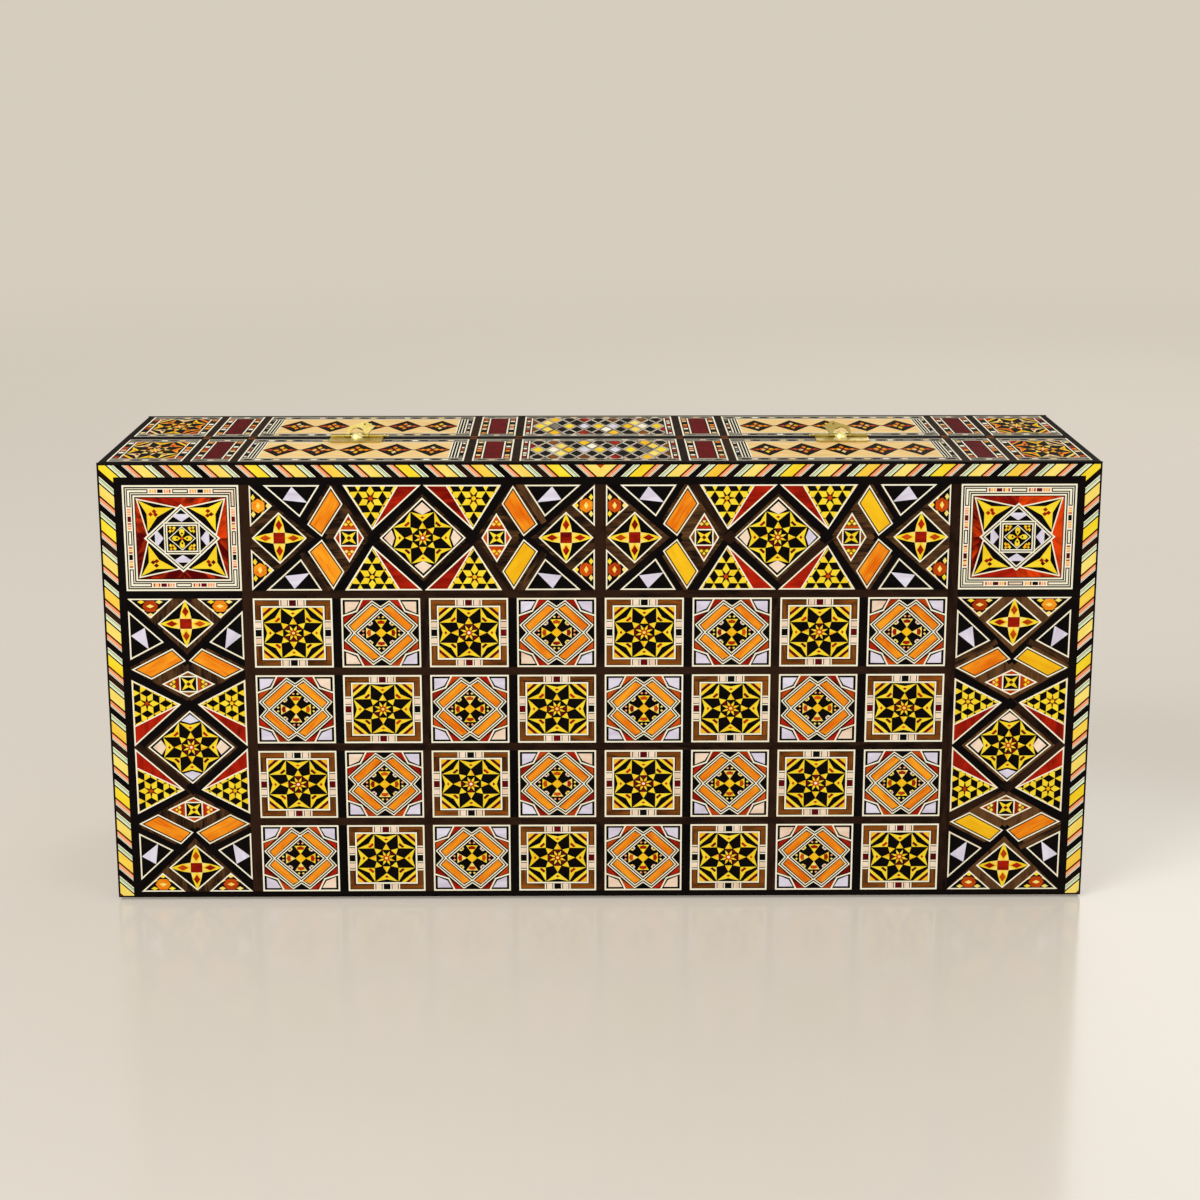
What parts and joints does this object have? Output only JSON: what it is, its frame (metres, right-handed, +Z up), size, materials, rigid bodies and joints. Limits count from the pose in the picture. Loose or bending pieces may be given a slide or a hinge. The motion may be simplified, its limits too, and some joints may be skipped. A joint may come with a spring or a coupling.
{
  "type": "chess box with hinged lid",
  "caption": "Folding box of two hinged half trays in star and diamond marquetry; its outer faces open flat into a chessboard, closed by brass hasps.",
  "frame": {"origin": "on the standing surface, under the middle of the closed box, at the bottom centre of its bounding box", "axes": "+X along the box to the right seen from the front, +Y from the front playing face to the rear one, +Z up"},
  "size_m": [0.5, 0.146, 0.2392],
  "materials": {
    "walnut_case": "lacquered walnut with fine grain",
    "ebonised_ground": "black and brown ground strips under gloss lacquer",
    "star_marquetry": "lemon wood, bone and black star marquetry under gloss lacquer",
    "black_star": "ebonised star pieces under gloss lacquer",
    "diamond_marquetry": "orange wood, pearl and bone marquetry under gloss lacquer",
    "pearl_diamond": "black, lemon and bone diamond marquetry under gloss lacquer",
    "corner_marquetry": "flame red wood, lemon and bone corner marquetry under gloss lacquer",
    "panel_marquetry": "orange, red and black panel marquetry under gloss lacquer",
    "rhombus_marquetry": "lemon and black star rhombi under gloss lacquer",
    "rope_stringing": "slanting yellow, bone, brown and salmon stringing under gloss lacquer",
    "edge_tiles": "cream, maroon and mosaic edge tiles under gloss lacquer",
    "floor_lining": "satin walnut floor lining",
    "floor_points": "satin light and red wood points",
    "brass": "polished brass"
  },
  "bodies": {
    "rear_half": {"rear_face_board": "walnut_case", "rear_top_wall": "walnut_case", "rear_bottom_wall": "walnut_case", "rear_left_wall": "walnut_case", "rear_right_wall": "walnut_case", "rear_face_ground": "ebonised_ground", "rear_star_squares": "star_marquetry", "rear_square_stars": "black_star", "rear_diamond_squares": "diamond_marquetry", "rear_square_diamonds": "pearl_diamond", "rear_corner_tiles": "corner_marquetry", "rear_band_panels": "panel_marquetry", "rear_side_panels": "panel_marquetry", "rear_panel_rhombi": "rhombus_marquetry", "rear_rope_stringing": "rope_stringing", "rear_top_ground": "ebonised_ground", "rear_top_tiles": "edge_tiles", "rear_end_grounds": "ebonised_ground", "rear_end_tiles": "edge_tiles", "rear_floor_lining": "floor_lining", "rear_floor_points": "floor_points", "rear_hinge_leaves": "brass", "hinge_pins": "brass", "rear_hinge_screws": "brass", "left_keeper": "brass", "right_keeper": "brass", "keeper_screws": "brass"},
    "front_half": {"front_face_board": "walnut_case", "front_top_wall": "walnut_case", "front_bottom_wall": "walnut_case", "front_left_wall": "walnut_case", "front_right_wall": "walnut_case", "front_face_ground": "ebonised_ground", "front_star_squares": "star_marquetry", "front_square_stars": "black_star", "front_diamond_squares": "diamond_marquetry", "front_square_diamonds": "pearl_diamond", "front_corner_tiles": "corner_marquetry", "front_band_panels": "panel_marquetry", "front_side_panels": "panel_marquetry", "front_panel_rhombi": "rhombus_marquetry", "front_rope_stringing": "rope_stringing", "front_top_ground": "ebonised_ground", "front_top_tiles": "edge_tiles", "front_end_grounds": "ebonised_ground", "front_end_tiles": "edge_tiles", "front_floor_lining": "floor_lining", "front_floor_points": "floor_points", "front_hinge_leaves": "brass", "front_hinge_screws": "brass", "left_hasp_leaf": "brass", "right_hasp_leaf": "brass", "left_hasp_pin": "brass", "right_hasp_pin": "brass", "hasp_leaf_screws": "brass"},
    "left_hasp": {"left_hasp": "brass"},
    "right_hasp": {"right_hasp": "brass"}
  },
  "joints": [
    {"name": "box_hinge", "type": "hinge", "parent": "rear_half", "child": "front_half", "pos_m": [0, 0, 0.0013], "axis": [1, 0, 0], "range_deg": [0, 180]},
    {"name": "left_hasp_hinge", "type": "hinge", "parent": "front_half", "child": "left_hasp", "pos_m": [-0.127, -0.0039, 0.232], "axis": [1, 0, 0], "range_deg": [0, 100]},
    {"name": "right_hasp_hinge", "type": "hinge", "parent": "front_half", "child": "right_hasp", "pos_m": [0.127, -0.0039, 0.232], "axis": [1, 0, 0], "range_deg": [0, 100]}
  ]
}
